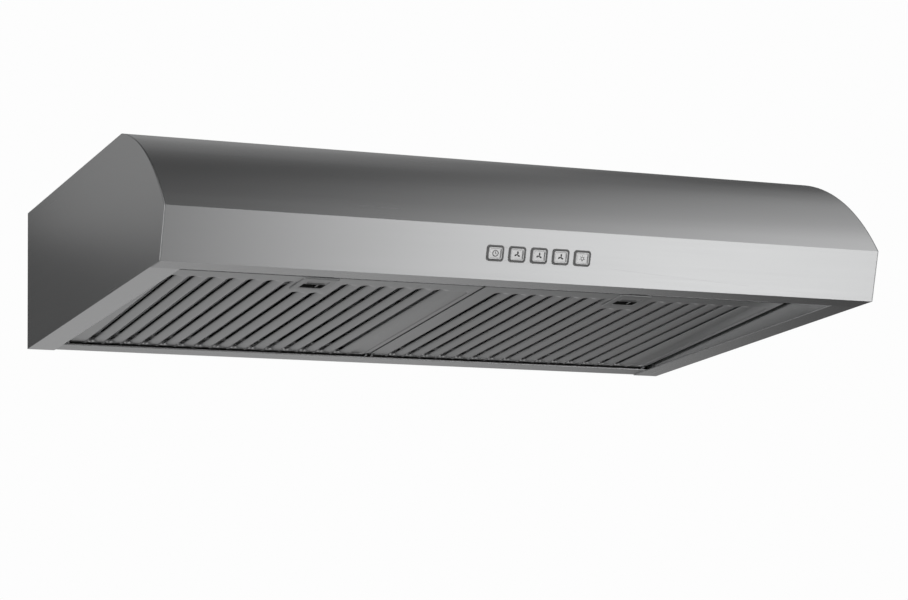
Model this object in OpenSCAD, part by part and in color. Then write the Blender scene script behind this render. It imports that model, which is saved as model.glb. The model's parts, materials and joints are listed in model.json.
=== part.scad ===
// Under cabinet range hood: curved front canopy, two tilt-down baffle filters,
// five push buttons, a centrifugal blower and a round top outlet with a damper.
//
// Inside this file x runs along the hood's width from its middle, y runs back
// from the front edge and z runs up from the bottom rim. in_part_frame() then
// moves the origin to the middle of the four cabinet screw holes on the top.

/* [Canopy] */
// Overall width
hood_w = 760; // [600:1:910]
// Overall depth, front edge to wall
hood_d = 500; // [490:1:520]
// Height, bottom rim to cabinet
hood_h = 150; // [148:1:160]
// Height of the flat control fascia
fascia_h = 49; // [46:1:56]
// How far the fascia's bottom edge is set back from its top edge
fascia_setback = 17; // [10:1:22]
// Radius of the curved front above the fascia
arc_r = 238; // [200:1:300]
// Distance from the front edge to where the flat top starts
top_start = 138; // [130:1:150]
// Width of the rim turned in along the bottom
rim_w = 30; // [26:1:34]
// Thickness of the canopy's sheet
sheet = 1; // [0.8:0.1:1.2]

/* [Filters] */
// Width of one filter
filter_w = 345.4; // [260:0.1:420]
// Gap between the two filters
filter_gap = 2.6; // [2:0.1:4]
// Slope of the filters, rising towards the front
filter_tilt = 2.58; // [2:0.01:3]
// Distance between baffle slots
slot_pitch = 20.1; // [18:0.1:20.5]
// Width of a baffle slot
slot_w = 7; // [6:0.5:10]
// Slots in one filter
slot_count = 15; // [10:1:15]

/* [Controls] */
// Distance between buttons
button_pitch = 23.2; // [20:0.1:30]
// Size of a button's cap across and up the fascia
button_size = [14.7, 12.3];

/* [Blower] */
// Outer radius of the impeller
impeller_r = 74; // [66:1:75]
// Number of impeller blades
blade_count = 32; // [20:1:40]

/* [Outlet and mounting] */
// Outer radius of the duct collar
collar_r = 74.5; // [60:0.5:76]
// Height of the duct collar above the top
collar_h = 40; // [30:1:50]
// Radius of a cabinet screw hole
screw_hole_r = 3.25; // [2.5:0.05:4]
// Cabinet screw holes, spacing along the width and the depth
screw_spacing = [660, 280];
// Depth of the middle of the screw holes behind the front edge
screw_mid_y = 315; // [310:1:330]

/* [Hidden] */
$fn = 96;

tiny = 0.01;
half_w = hood_w / 2;
inner_half_w = half_w - sheet;
rim_inner_x = half_w - rim_w;
fascia_angle = atan(fascia_setback / fascia_h);
fascia_len = norm([fascia_setback, fascia_h]);
front_rim_y = fascia_setback + rim_w + 0.2;
hem_w = 6;

// Circle through the fascia's top edge and the start of the flat top.
arc_low = [0, fascia_h];
arc_high = [top_start, hood_h];
arc_chord = arc_high - arc_low;
arc_side = [-arc_chord[1], arc_chord[0]] / norm(arc_chord);
arc_mid = (arc_low + arc_high) / 2;
arc_centre = arc_mid - arc_side * sqrt(arc_r * arc_r - pow(norm(arc_chord) / 2, 2));

// The filters turn about a rod just in front of the rear rim.
rear_rim_y = hood_d - 32;
rear_rim_t = 1.6;
hinge_y = rear_rim_y - 1.5;
rod_r = 2;
filter_below = 3;      // lower face of a filter under its rod
filter_above = 10;     // upper face of a filter above its rod
hinge_z = 4.16 + filter_below;
filter_front = 328.3;  // front face of a filter ahead of its rod
filter_rear = 10.5;    // rear face of a filter behind its rod
filter_x = (filter_w + filter_gap) / 2;
baffle_t = 0.6;
slot_front = 306;
slot_front_at_latch = 266;
slot_rear = 2.8;
slot_flange = 3;
upper_z = 6;
corner_notch = [4.5, 8];
running_gap = 0.08;
lamp_panel_rear_y = 136;
lamp_x = 190;
lamp_y = 92;
lamp_r = 27.5;
latch_size = [38, 48];
latch_front = 325.5;
latch_travel = 2.8;
latch_window = [24, 27.4];
latch_window_front = latch_front - 11;
nose_w = 20;
nose_reach = 1.2;
base_z = -filter_below + baffle_t + 0.1;
pad_z = -filter_below - 0.8;

button_xs = [for (i = [0:4]) (i - 2) * button_pitch];
cap_proud = 1;
cap_depth = 4;
bezel_wall = 0.7;
button_gap = 0.25;
switch_depth = 8;
stem_r = 2;

blower_y = 260;
blower_z = 75;
plate_t = 1.5;
blower_top = hood_h - sheet - plate_t;
scroll_t = 1.2;
scroll_start_a = 70;
scroll_start_r = 84;
scroll_end_r = 116;
wheel_bottom = blower_z + 7;
wheel_top = blower_top - 8;
wheel_t = 1.5;
outlet_x = [-78, 116];
outlet_y = [348, 492];
inlet_r = 64;
bell_r = 10;
motor_r = 42;
motor_bottom = 112;
motor_ear_t = 3;
motor_screw_r = motor_r + 2.5;
shaft_r = 4;
shaft_bottom = 92;
shaft_in_motor = 14;

collar_y = 420;
collar_wall = 2.5;
collar_flange_r = 79.5;
collar_screw_r = 84;
collar_ledge_r = 69;
damper_z = hood_h + 11;
damper_rod_r = 1.5;
knuckle_r = 2.8;
flap_t = 1;
flap_drop = 1.4;  // lower face of a closed flap under the rod

wiring_size = [86, 72, 36];

gland_xy = [-295, 445];

steel = [0.62, 0.62, 0.63];
dark_steel = [0.45, 0.46, 0.47];

// ---------- frames ----------

module in_part_frame() {
    translate([0, -screw_mid_y, -hood_h]) children();
}

// x along the fascia, y up it from its bottom edge, z out of its face.
module on_fascia(x = 0, up = 0) {
    translate([x, fascia_setback, 0])
        rotate([90 + fascia_angle, 0, 0])
            translate([0, up, 0]) children();
}

// Origin on the hinge rod of one filter, -y to the filter's front, z up.
module in_filter(side) {
    translate([side * filter_x, hinge_y, hinge_z]) rotate([-filter_tilt, 0, 0]) children();
}

// Draws a y-z outline as a solid between two x values.
module along_x(x0, x1) {
    translate([x0, 0, 0]) rotate([90, 0, 90]) linear_extrude(x1 - x0) children();
}

function filter_z(y) = hinge_z - filter_below / cos(filter_tilt) + (hinge_y - y) * tan(filter_tilt);

// ---------- small shapes ----------

module rounded_rectangle(size, r) {
    square([size[0] - 2 * r, size[1]], center = true);
    square([size[0], size[1] - 2 * r], center = true);
    for (x = [-1, 1], y = [-1, 1])
        translate([x * (size[0] / 2 - r), y * (size[1] / 2 - r)]) circle(r);
}

// Slot along y with round ends, given by its two ends' distances ahead of the origin.
module slot_outline(y_front, y_rear, width) {
    translate([-width / 2, -y_front + width / 2]) square([width, y_front - y_rear - width]);
    for (y = [-y_front + width / 2, -y_rear - width / 2]) translate([0, y]) circle(width / 2);
}

module ring(outer, inner, h) {
    difference() {
        cylinder(r = outer, h = h);
        translate([0, 0, -1]) cylinder(r = inner, h = h + 2);
    }
}

// Pan head screw, its head's lower face at z 0 and its shank going up.
module screw(head_r = 4, shank_r = 2, length = 8) {
    translate([0, 0, -2]) difference() {
        cylinder(r = head_r, h = 2);
        for (turn = [0, 90]) rotate([0, 0, turn]) translate([-2.2, -0.5, -1]) cube([4.4, 1, 2]);
    }
    translate([0, 0, -tiny]) cylinder(r = shank_r, h = length);
}

// ---------- canopy ----------

module side_outline() {
    polygon([[fascia_setback, 0], arc_low, arc_high, [hood_d, hood_h], [hood_d, 0]]);
    intersection() {
        translate(arc_centre) circle(arc_r, $fn = 256);
        polygon([arc_low, arc_high, arc_high + 20 * arc_side, arc_low + 20 * arc_side]);
    }
}

// One bent sheet: top flange, curved front, flat fascia and the rim under it.
module front_canopy() {
    x = inner_half_w - 0.2;
    slant = sheet / cos(fascia_angle);
    flange_z = hood_h - sheet - 0.1;
    color(steel) difference() {
        union() {
            along_x(-x, x) intersection() {
                difference() {
                    translate(arc_centre) circle(arc_r, $fn = 256);
                    translate(arc_centre) circle(arc_r - sheet, $fn = 256);
                }
                translate([0, fascia_h]) square([top_start - 0.05, hood_h]);
            }
            along_x(-x, x) polygon([[fascia_setback, 0], arc_low, arc_low + [0.3, 0.3],
                [slant - 0.1, fascia_h + 0.3], [fascia_setback + slant - sheet * tan(fascia_angle), sheet],
                [fascia_setback + rim_w, sheet], [fascia_setback + rim_w, 0]]);
            translate([-x, top_start - 2, flange_z - sheet]) cube([2 * x, 11, sheet]);
        }
        for (bx = button_xs) on_fascia(bx, fascia_len / 2) translate([0, 0, -3])
            linear_extrude(6) rounded_rectangle(button_size + [2.1, 2.1], 2.6);
    }
}

module side_panel(side) {
    color(steel) mirror([side < 0 ? 1 : 0, 0, 0]) {
        along_x(inner_half_w, half_w) side_outline();
        translate([rim_inner_x, front_rim_y, 0])
            cube([rim_w - sheet + tiny, hood_d - front_rim_y, sheet]);
        translate([rim_inner_x, front_rim_y, sheet - tiny])
            cube([hem_w, rear_rim_y - 0.2 - front_rim_y, sheet + tiny]);
        translate([inner_half_w - 14, hood_d - 2 * sheet, 12])
            cube([14 + tiny, sheet, hood_h - 16]);
        translate([inner_half_w - 14, top_start + 18, hood_h - 2 * sheet])
            cube([14 + tiny, hood_d - top_start - 26, sheet]);
    }
}

module top_panel() {
    color(steel) difference() {
        translate([-inner_half_w, top_start, hood_h - sheet])
            cube([2 * inner_half_w, hood_d - sheet - top_start, sheet]);
        for (x = [-0.5, 0.5], y = [-0.5, 0.5])
            translate([x * screw_spacing[0], screw_mid_y + y * screw_spacing[1], hood_h - 5])
                cylinder(r = screw_hole_r, h = 10);
        translate([0, collar_y, hood_h - 5]) cylinder(r = collar_r - collar_wall, h = 10);
        translate([gland_xy[0], gland_xy[1], hood_h - 5]) cylinder(r = 11.2, h = 10);
    }
}

module back_panel() {
    color(steel) {
        translate([-inner_half_w, hood_d - sheet, sheet])
            cube([2 * inner_half_w, sheet, hood_h - sheet]);
        translate([-inner_half_w + 1, rear_rim_y, sheet])
            cube([2 * inner_half_w - 2, hood_d - rear_rim_y - sheet + tiny, rear_rim_t]);
    }
}

// Front wall behind the controls and sloping panel that holds the lamps.
module lamp_panel() {
    y0 = front_rim_y - 2.2;
    y1 = lamp_panel_rear_y;
    lip = 10;
    x = rim_inner_x - 0.8;
    color(steel) difference() {
        along_x(-x, x) polygon([
            [y0 - 18, sheet], [y0 + 1, sheet], [y0 + 1, filter_z(y0 + 1)], [y1, filter_z(y1)],
            [y1, filter_z(y1) + lip], [y1 - sheet, filter_z(y1) + lip],
            [y1 - sheet, filter_z(y1) + sheet], [y0, filter_z(y0) + sheet],
            [y0, 2 * sheet], [y0 - 18, 2 * sheet]]);
        for (side = [-1, 1]) {
            lamp_place(side) translate([0, 0, -4]) cylinder(r = lamp_r + 0.3, h = 8);
            translate([side * filter_x - nose_w / 2 - 2, y1 - 2, filter_z(y1) + 1.5]) cube([nose_w + 4, 4, 4]);
        }
    }
}

// Inner wall beside a filter, with a foot on the rim and a lip above the filter.
module side_rail(side) {
    y0 = front_rim_y + 2;
    y1 = rear_rim_y - 0.5;
    lift = filter_below + filter_above + 0.6;
    wall_x = rim_inner_x + sheet;
    foot = 12;
    lip = 7;
    lip_y0 = lamp_panel_rear_y + 6;
    lip_y1 = hinge_y - 16;
    color(steel) mirror([side < 0 ? 1 : 0, 0, 0]) {
        along_x(wall_x, wall_x + sheet) polygon([[y0, 2 * sheet], [y1, 2 * sheet],
            [y1, filter_z(y1) + lift + sheet], [y0, filter_z(y0) + lift + sheet]]);
        translate([wall_x, y0, 2 * sheet]) cube([foot, y1 - y0, sheet]);
        along_x(rim_inner_x - lip, wall_x + tiny) polygon([
            [lip_y0, filter_z(lip_y0) + lift], [lip_y1, filter_z(lip_y1) + lift],
            [lip_y1, filter_z(lip_y1) + lift + sheet], [lip_y0, filter_z(lip_y0) + lift + sheet]]);
    }
}

// Four brackets on the rear rim that carry the ends of the hinge rods.
module filter_hangers() {
    plate = 2.2;
    edge = filter_w / 2 - corner_notch[0] + 1.3;
    rim_top = sheet + rear_rim_t;
    color(dark_steel) for (side = [-1, 1], end = [-1, 1])
        translate([side * filter_x + end * edge - (end < 0 ? plate : 0), 0, 0]) {
            difference() {
                translate([0, hinge_y - 4.5, rim_top]) cube([plate, 11, 9.4]);
                translate([-1, hinge_y, hinge_z]) rotate([0, 90, 0]) cylinder(r = rod_r + running_gap, h = plate + 2);
            }
            translate([0, hinge_y + 1.8, rim_top]) cube([plate, 14, 1.2]);
        }
}

// ---------- controls ----------

module button(index) {
    color([0.75, 0.75, 0.76]) on_fascia(button_xs[index], fascia_len / 2) {
        translate([0, 0, -cap_depth]) linear_extrude(cap_depth + cap_proud)
            rounded_rectangle(button_size, 2);
        translate([0, 0, -switch_depth - 1]) cylinder(r = stem_r, h = switch_depth + 1 - cap_depth + tiny);
    }
}

module button_bezels() {
    inner = button_size + 2 * [button_gap, button_gap];
    color([0.12, 0.12, 0.13]) for (x = button_xs) on_fascia(x, fascia_len / 2) {
        difference() {
            union() {
                linear_extrude(0.7) rounded_rectangle(inner + [3, 3], 3.2);
                translate([0, 0, -5]) linear_extrude(5 + tiny)
                    rounded_rectangle(inner + 2 * [bezel_wall, bezel_wall], 2.5);
            }
            translate([0, 0, -6]) linear_extrude(8) rounded_rectangle(inner, 2.2);
        }
    }
}

module button_switches() {
    color([0.1, 0.1, 0.1]) for (x = button_xs) on_fascia(x, fascia_len / 2)
        translate([0, 0, -switch_depth - 5]) difference() {
            translate([-4, -4, 0]) cube([8, 8, 5]);
            translate([0, 0, 2]) cylinder(r = stem_r + 0.4, h = 4);
        }
}

module control_board() {
    color([0.1, 0.35, 0.2]) on_fascia(0, fascia_len / 2)
        translate([0, 0, -switch_depth - 6.6]) difference() {
            translate([-70, -15, 0]) cube([140, 30, 1.6]);
            for (x = [-64, 64]) translate([x, 0, -1]) cylinder(r = 1.6, h = 4);
        }
    color([0.15, 0.15, 0.15]) on_fascia(0, fascia_len / 2)
        for (x = [-58, -30, 34]) translate([x, -9, -switch_depth - 10]) cube([16, 12, 3.4 + tiny]);
}

module board_posts() {
    reach = switch_depth + 6.6;
    color(dark_steel) on_fascia(0, fascia_len / 2) for (x = [-64, 64]) {
        translate([x, 0, -reach + 1.6]) cylinder(r = 3, h = reach - 1.6 - sheet - tiny);
        translate([x, 0, -reach - 2]) cylinder(r = 2.6, h = 2);
        translate([x, 0, -reach - 1]) cylinder(r = 1.5, h = 4);
    }
}

// ---------- lamps ----------

module lamp_place(side) {
    translate([side * lamp_x, lamp_y, filter_z(lamp_y)]) rotate([-filter_tilt, 0, 0]) children();
}

module lamp_housing(side) {
    color([0.8, 0.8, 0.8]) lamp_place(side) rotate_extrude() polygon([
        [lamp_r - 3, -1.4], [lamp_r + 3, -0.8], [lamp_r + 3, -0.1], [lamp_r, -0.1], [lamp_r, 12],
        [0, 12], [0, 10], [lamp_r - 2, 10], [lamp_r - 2, 0.4], [lamp_r - 3, 0.4]]);
}

module lamp_lens(side) {
    color([0.95, 0.95, 0.9]) lamp_place(side) translate([0, 0, 0.5]) cylinder(r = lamp_r - 2.2, h = 2.5);
}

module lamp_driver() {
    color([0.85, 0.85, 0.83]) translate([235, 380, hood_h - sheet - 24]) difference() {
        cube([70, 36, 24]);
        for (x = [-1, 66]) translate([x, 8, -1]) cube([5, 20, 21]);
    }
}

// ---------- blower ----------

function scroll_r(a) = scroll_start_r
    + (scroll_end_r - scroll_start_r) * (a - scroll_start_a) / (360 - scroll_start_a);

function scroll_point(a, extra) = (scroll_r(a) + extra) * [cos(a), sin(a)] + [0, blower_y];

// Plan outline of the scroll and outlet box, grown outwards by extra.
module scroll_outline(extra = 0) {
    passage_x = 20;
    polygon([for (a = [scroll_start_a:5:360]) scroll_point(a, extra)]);
    translate([passage_x, blower_y - extra])
        square([outlet_x[1] - passage_x + extra, outlet_y[0] - blower_y + 2 * extra]);
    translate([outlet_x[0] - extra, outlet_y[0] - extra])
        square([outlet_x[1] - outlet_x[0] + 2 * extra, outlet_y[1] - outlet_y[0] + 2 * extra]);
}

// Plan of the solid tongue between the scroll and its outlet passage.
module tongue() {
    translate([0, outlet_y[0]])
        polygon([[-10, 0.6], [46, 0.6], [50, -10], [46, -18], [38, -13], [24, -8], [-10, -3]]);
}

module scroll_housing() {
    color([0.7, 0.71, 0.72]) {
        translate([0, 0, blower_z]) linear_extrude(blower_top - blower_z) {
            difference() {
                scroll_outline(scroll_t);
                scroll_outline();
            }
            tongue();
        }
        translate([0, 0, blower_z - scroll_t]) difference() {
            linear_extrude(scroll_t + tiny) scroll_outline(scroll_t);
            translate([0, blower_y, -1]) cylinder(r = inlet_r + bell_r - 1.8, h = 4);
        }
    }
}

module motor_plate() {
    color([0.7, 0.71, 0.72]) translate([0, 0, blower_top]) difference() {
        linear_extrude(plate_t) scroll_outline(scroll_t + 3);
        translate([0, collar_y, -1]) cylinder(r = collar_r - collar_wall, h = 4);
        at_motor_screws() translate([0, 0, -1]) cylinder(r = 1.45, h = 4);
    }
}

// Bell mouth that leads the air into the wheel.
module inlet_ring() {
    bell_t = 1.5;
    flange_w = 10;
    throat = inlet_r - 2;
    mouth_z = bell_r - bell_t - scroll_t;
    color([0.2, 0.2, 0.2]) translate([0, blower_y, blower_z]) rotate_extrude() {
        translate([throat + bell_r, mouth_z]) intersection() {
            difference() {
                circle(bell_r);
                circle(bell_r - bell_t);
            }
            translate([-bell_r, -bell_r]) square(bell_r);
        }
        translate([throat + bell_r - tiny, mouth_z - bell_r]) square([flange_w, bell_t]);
    }
}

// Guard under the blower's inlet: straight bars whose ends rest on the bell's flange.
module inlet_guard() {
    wire = 2.4;
    reach = 76;
    pitch = 16;
    color(dark_steel) translate([0, blower_y, blower_z - scroll_t - 1.5 - wire]) for (i = [-4:4]) {
        half_length = sqrt(reach * reach - pow(i * pitch, 2));
        translate([i * pitch - wire / 2, -half_length, 0]) cube([wire, 2 * half_length, wire]);
    }
}

module at_motor_screws() {
    translate([0, blower_y, 0]) for (turn = [45:90:315]) rotate([0, 0, turn])
        translate([motor_screw_r, 0, 0]) children();
}

module motor() {
    shell_h = 18;
    cap_h = 3;
    color(dark_steel) difference() {
        union() {
            translate([0, blower_y, motor_bottom]) {
                cylinder(r = motor_r - 4, h = cap_h);
                translate([0, 0, cap_h - tiny]) cylinder(r = motor_r, h = shell_h);
                cylinder(r = motor_r - 3, h = blower_top - motor_bottom);
            }
            translate([0, blower_y, blower_top - motor_ear_t]) for (turn = [45:90:315])
                rotate([0, 0, turn]) translate([motor_r - 8, -6, 0]) cube([14, 12, motor_ear_t]);
        }
        at_motor_screws() translate([0, 0, blower_top - motor_ear_t - 1]) cylinder(r = 1.45, h = 5);
        translate([0, blower_y, motor_bottom - 1]) cylinder(r = shaft_r + running_gap, h = shaft_in_motor + 1.3);
    }
}

module motor_screws() {
    color([0.5, 0.5, 0.45]) at_motor_screws() translate([0, 0, blower_top - motor_ear_t])
        screw(3, 1.45, motor_ear_t + plate_t);
}

// Wheel's hub: a cup round the motor and the back plate that carries the blades.
module impeller_hub() {
    cup = motor_r + 3;
    hub_z = motor_bottom - 7;
    color([0.25, 0.26, 0.28]) translate([0, blower_y, 0]) difference() {
        rotate_extrude() polygon([
            [0, hub_z - 4], [9, hub_z - 4], [9, hub_z], [cup + 1.5, hub_z], [cup + 1.5, wheel_top - wheel_t],
            [impeller_r, wheel_top - wheel_t], [impeller_r, wheel_top], [cup, wheel_top],
            [cup, hub_z + 1.5], [9, hub_z + 1.5], [9, hub_z + 4], [0, hub_z + 4]]);
        translate([0, 0, hub_z - 10]) cylinder(r = shaft_r, h = 20);
    }
}

// Strip of forward-curved blades with the rim that joins their lower ends.
module impeller_blades() {
    rim_h = 2;
    blade_h = wheel_top - wheel_t - wheel_bottom - rim_h;
    color([0.25, 0.26, 0.28]) translate([0, blower_y, wheel_bottom]) {
        ring(impeller_r, impeller_r - 5, rim_h);
        for (i = [0:blade_count - 1]) rotate([0, 0, i * 360 / blade_count])
            translate([0, 0, rim_h - tiny]) linear_extrude(blade_h + tiny) blade_section();
    }
}

module blade_section() {
    blade_r = 9;
    translate([impeller_r - blade_r - 0.5, -4]) intersection() {
        difference() {
            circle(blade_r);
            circle(blade_r - 0.8);
        }
        translate([1, -1]) square([blade_r - 0.5, blade_r + 1]);
    }
}

module motor_shaft() {
    color([0.75, 0.75, 0.76]) translate([0, blower_y, shaft_bottom])
        cylinder(r = shaft_r, h = motor_bottom + shaft_in_motor - shaft_bottom);
}

module impeller_nut() {
    color([0.6, 0.6, 0.55]) translate([0, blower_y, motor_bottom - 17]) difference() {
        cylinder(r = 8, h = 6, $fn = 6);
        translate([0, 0, -1]) cylinder(r = shaft_r, h = 9);
    }
}

// ---------- electrics ----------

module capacitor() {
    color([0.9, 0.9, 0.88]) translate([-190, 300, hood_h - sheet - 30]) cube([38, 20, 30]);
}

// Corner of the wiring box: it hangs under the top around the cable gland.
module in_wiring_box() {
    translate([gland_xy[0] - wiring_size[0] / 2, gland_xy[1] - 34, hood_h - sheet - wiring_size[2]])
        children();
}

module at_cover_screws() {
    in_wiring_box() for (x = [8, wiring_size[0] - 8]) translate([x, wiring_size[1] / 2, 0]) children();
}

module wiring_box() {
    color(steel) difference() {
        in_wiring_box() {
            difference() {
                cube(wiring_size);
                translate([1, 1, -1]) cube(wiring_size - [2, 2, 0]);
            }
            for (x = [tiny, wiring_size[0] - 13]) translate([x, wiring_size[1] / 2 - 6, 0]) cube([13, 12, 1]);
        }
        at_cover_screws() translate([0, 0, -1]) cylinder(r = 1.4, h = 4);
        translate([gland_xy[0], gland_xy[1], hood_h - 5]) cylinder(r = 11.2, h = 5);
        in_wiring_box() translate([wiring_size[0] - 2, 20, 14]) rotate([0, 90, 0]) cylinder(r = 5, h = 4);
    }
}

module wiring_box_cover() {
    color(steel) difference() {
        in_wiring_box() translate([0, 0, -1]) cube([wiring_size[0], wiring_size[1], 1]);
        at_cover_screws() translate([0, 0, -2]) cylinder(r = 1.4, h = 3);
    }
}

module cover_screws() {
    color([0.5, 0.5, 0.45]) at_cover_screws() translate([0, 0, -1]) screw(3, 1.4, 3.5);
}

module terminal_block() {
    block = [46, 14, 16];
    ways = 4;
    color([0.92, 0.92, 0.9]) in_wiring_box()
        translate([(wiring_size[0] - block[0]) / 2, wiring_size[1] - 1 - block[1], 8]) difference() {
            cube(block);
            for (i = [0:ways - 1]) translate([6.5 + i * 11, block[1] / 2, -1]) cylinder(r = 2.2, h = 9);
        }
}

module cable_gland() {
    nut_z = -2 * sheet;
    color([0.1, 0.1, 0.1]) translate([gland_xy[0], gland_xy[1], hood_h]) difference() {
        union() {
            cylinder(r = 15, h = 5, $fn = 6);
            translate([0, 0, 5 - tiny]) cylinder(r1 = 11, r2 = 9, h = 7);
            translate([0, 0, nut_z - 10]) cylinder(r = 10.8, h = 12);
            translate([0, 0, nut_z - 4.4]) cylinder(r = 14.5, h = 4.4, $fn = 6);
        }
        translate([0, 0, nut_z - 11]) cylinder(r = 4.5, h = 30);
    }
}

// ---------- outlet ----------

module at_collar_screws() {
    translate([0, collar_y, hood_h]) for (turn = [45:90:315]) rotate([0, 0, turn])
        translate([collar_screw_r, 0, 0]) children();
}

// Duct collar with a ledge that the closed flaps rest over and four screw ears.
module exhaust_collar() {
    inner = collar_r - collar_wall;
    base_t = 2;
    ledge_z = damper_z - hood_h - flap_drop - 0.3;
    color([0.3, 0.31, 0.32]) difference() {
        union() {
            translate([0, collar_y, hood_h]) rotate([0, 0, 20]) rotate_extrude() polygon([
                [inner, 0], [collar_flange_r, 0], [collar_flange_r, base_t], [collar_r, base_t],
                [collar_r, collar_h], [inner, collar_h], [inner, ledge_z], [collar_ledge_r, ledge_z],
                [collar_ledge_r, ledge_z - 1.5], [inner, ledge_z - 1.5 - inner + collar_ledge_r]]);
            at_collar_screws() cylinder(r = 6, h = base_t);
        }
        at_collar_screws() translate([0, 0, -1]) cylinder(r = 1.8, h = 5);
        translate([-collar_r - 1, collar_y, damper_z]) rotate([0, 90, 0])
            cylinder(r = damper_rod_r, h = 2 * collar_r + 2);
    }
}

module collar_screws() {
    color(dark_steel) at_collar_screws() translate([0, 0, 2]) mirror([0, 0, 1]) screw(3.5, 1.8, 2);
}

module damper_rod() {
    length = 2 * collar_r - 0.4;
    color([0.7, 0.7, 0.7]) translate([-length / 2, collar_y, damper_z]) rotate([0, 90, 0])
        cylinder(r = damper_rod_r, h = length);
}

// Half-round flap; knuckles at alternate places let the two flaps share a rod.
module damper_flap(side) {
    r = collar_r - collar_wall - 1;
    edge = knuckle_r + 0.4;
    knuckle_w = 15.8;
    color([0.75, 0.76, 0.77]) translate([0, collar_y, damper_z]) {
        translate([0, 0, -flap_drop]) linear_extrude(flap_t) intersection() {
            circle(r);
            translate([-r, side < 0 ? -r : edge]) square([2 * r, r - edge]);
        }
        for (x = side < 0 ? [-56, 8] : [-24, 40]) translate([x, 0, 0]) difference() {
            union() {
                rotate([0, 90, 0]) cylinder(r = knuckle_r, h = knuckle_w);
                translate([0, side < 0 ? -6 : 0, -flap_drop]) cube([knuckle_w, 6, flap_t]);
            }
            translate([-1, 0, 0]) rotate([0, 90, 0])
                cylinder(r = damper_rod_r + running_gap, h = knuckle_w + 2);
        }
    }
}

// ---------- filters ----------

// Middle of a slot; the row of slots and the strips between them is centred.
function slot_x(i) = (i - slot_count / 2) * slot_pitch + slot_w / 2;

function near_latch(x) = abs(x) < (latch_size[0] + slot_w) / 2;

// Plan of a filter, less the rear corners that clear the hangers.
module filter_plan(inset = 0) {
    difference() {
        translate([-filter_w / 2 + inset, -filter_front + inset])
            square([filter_w - 2 * inset, filter_front + filter_rear - 2 * inset]);
        for (side = [-1, 1])
            translate([side * (filter_w / 2 - corner_notch[0] / 2), 20 - corner_notch[1]])
                square([corner_notch[0] + 2 * inset, 40 + 2 * inset], center = true);
    }
}

module lower_slots(extra) {
    for (i = [0:slot_count - 1]) translate([slot_x(i), 0])
        slot_outline((near_latch(slot_x(i)) ? slot_front_at_latch : slot_front) + extra,
            slot_rear - extra, slot_w + 2 * extra);
}

module upper_slots(extra) {
    for (i = [0:slot_count - 2]) translate([slot_x(i) + slot_pitch / 2, 0])
        slot_outline((near_latch(slot_x(i) + slot_pitch / 2) ? slot_front_at_latch : slot_front) + extra,
            slot_rear + 8 - extra, slot_w + 2 * extra);
}

module lower_baffle(side) {
    color(steel) in_filter(side) translate([0, 0, -filter_below]) {
        linear_extrude(baffle_t) difference() {
            filter_plan();
            lower_slots(0);
            latch_hole(1);
        }
        translate([0, 0, baffle_t - tiny]) linear_extrude(slot_flange - baffle_t) difference() {
            lower_slots(baffle_t);
            lower_slots(0);
        }
    }
}

module upper_baffle(side) {
    color(steel) in_filter(side) translate([0, 0, upper_z]) {
        linear_extrude(baffle_t) difference() {
            filter_plan(baffle_t + 0.1);
            upper_slots(0);
        }
        translate([0, 0, -slot_flange + baffle_t]) linear_extrude(slot_flange - baffle_t + tiny) difference() {
            upper_slots(baffle_t);
            upper_slots(0);
        }
    }
}

module filter_frame(side) {
    z0 = -filter_below + baffle_t;
    color(steel) in_filter(side) difference() {
        union() {
            translate([0, 0, z0]) linear_extrude(filter_above - z0) difference() {
                filter_plan();
                filter_plan(baffle_t);
            }
            translate([0, 0, filter_above - baffle_t]) linear_extrude(baffle_t) difference() {
                filter_plan();
                filter_plan(9);
            }
        }
        translate([-filter_w, 0, 0]) rotate([0, 90, 0]) cylinder(r = rod_r, h = 2 * filter_w);
        translate([-nose_w / 2 - 0.4, -filter_front - 1, z0 - 1]) cube([nose_w + 0.8, 3, 2.6]);
    }
}

module hinge_rod(side) {
    length = filter_w - 2 * corner_notch[0] + 8;
    color([0.7, 0.7, 0.7]) in_filter(side) translate([-length / 2, 0, 0]) rotate([0, 90, 0])
        cylinder(r = rod_r, h = length);
}

module latch_hole(extra) {
    translate([0, -latch_window_front + latch_window[1] / 2])
        rounded_rectangle(latch_window + [extra, extra], 1.5);
}

module latch_plate(side) {
    plate_h = 0.9;
    color(steel) in_filter(side) translate([0, 0, -filter_below - plate_h]) linear_extrude(plate_h) difference() {
        translate([0, -latch_front + latch_size[1] / 2]) rounded_rectangle(latch_size, 3);
        latch_hole(0);
    }
}

// Sprung bolt: a fingertip draws its pad back inside the plate's window.
module latch_slider(side) {
    side_gap = 0.3;
    pad = latch_window - [2 * side_gap, latch_travel + 0.4];
    base = [32, 44.5, 1.2];
    base_front = filter_front - baffle_t - 1.2;
    color(dark_steel) in_filter(side) {
        translate([-base[0] / 2, -base_front, base_z]) cube(base);
        translate([-nose_w / 2, -filter_front - nose_reach, base_z])
            cube([nose_w, filter_front + nose_reach - base_front + tiny, base[2]]);
        translate([0, -latch_window_front + side_gap + pad[1] / 2, pad_z])
            linear_extrude(base_z - pad_z + tiny) rounded_rectangle(pad, 1.2);
    }
}

// ---------- assembly ----------

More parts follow.
